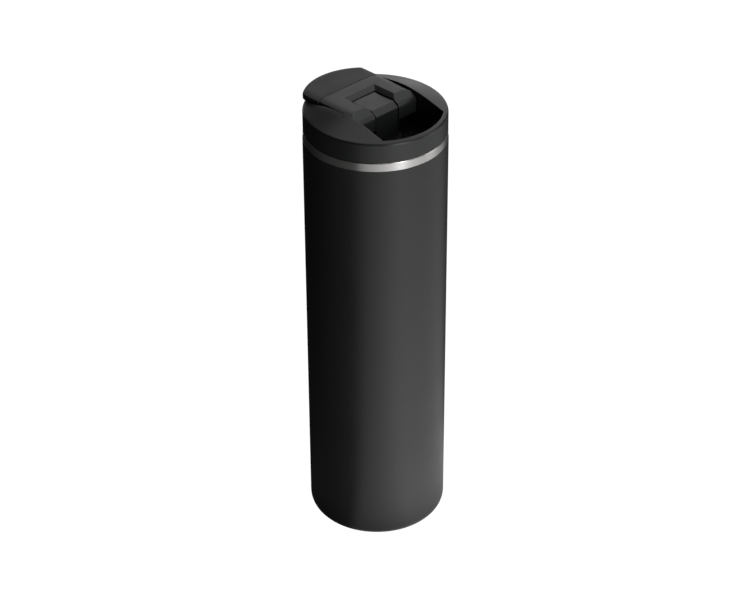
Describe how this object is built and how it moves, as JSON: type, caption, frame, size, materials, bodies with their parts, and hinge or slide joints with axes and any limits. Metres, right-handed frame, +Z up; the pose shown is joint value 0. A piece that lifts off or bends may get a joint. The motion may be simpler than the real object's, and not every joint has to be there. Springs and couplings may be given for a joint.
{
  "type": "insulated travel mug",
  "caption": "Tall straight double-walled steel travel mug, matte black, with a screw lid and a sprung flip cover over the drinking edge.",
  "frame": {"origin": "centre of the foot, on the plane the mug stands on", "axes": "+Z up along the mug's axis; +X along the cover's hinge; +Y towards the drinking edge under the thumb tab"},
  "size_m": [0.073, 0.0754, 0.2477],
  "materials": {
    "steel": "circumferentially brushed stainless steel",
    "coat": "fine-textured matte black powder coat",
    "liner_steel": "electropolished stainless steel",
    "sealant": "fused vacuum sealing pellet",
    "getter": "sintered gas getter",
    "foil": "bright copper foil",
    "lid_plastic": "finely textured black polypropylene",
    "button_plastic": "satin black polypropylene",
    "cover_plastic": "satin charcoal polypropylene",
    "tab_plastic": "satin charcoal polypropylene",
    "silicone": "translucent grey silicone",
    "spring_steel": "drawn stainless steel"
  },
  "bodies": {
    "cup": {"outer_shell": "steel", "powder_coat": "coat", "base_disc": "steel", "vacuum_base": "steel", "seal_pellet": "sealant", "getter_pad": "getter", "inner_liner": "liner_steel", "liner_foil": "foil"},
    "gasket": {"lid_gasket": "silicone"},
    "lid": {"lid_shell": "lid_plastic", "lid_plug": "lid_plastic", "vent_valve": "silicone", "button_well": "lid_plastic", "well_seal": "silicone", "button_spring": "spring_steel", "latch_clip": "spring_steel", "clip_screws": "spring_steel", "hinge_pins": "spring_steel", "cover_springs": "spring_steel"},
    "button": {"release_button": "button_plastic"},
    "cover": {"cover_frame": "cover_plastic", "cover_tab": "tab_plastic", "seal_carrier": "lid_plastic", "spout_seal": "silicone", "carrier_screws": "spring_steel"}
  },
  "joints": [
    {"name": "lid_lift", "type": "slide", "parent": "cup", "child": "gasket", "axis": [0, 0, 1], "range_m": [0, 0.0241]},
    {"name": "lid_turn", "type": "hinge", "parent": "gasket", "child": "lid", "pos_m": [0, 0, 0.2316], "axis": [0, 0, 1], "range_deg": [0, 360]},
    {"name": "button_press", "type": "slide", "parent": "lid", "child": "button", "axis": [0, 0, -1], "range_m": [0, 0.002], "stiffness_N_per_m": 400, "springref_m": -0.003, "deforming": ["button_spring", "latch_clip"]},
    {"name": "cover_flip", "type": "hinge", "parent": "lid", "child": "cover", "pos_m": [0, -0.003, 0.24], "axis": [1, 0, 0], "range_deg": [0, 150], "deforming": ["cover_springs"]}
  ],
  "couplings": [
    {"joint": "lid_lift", "follows": "lid_turn", "m_per_rad": 0.0038197}
  ]
}
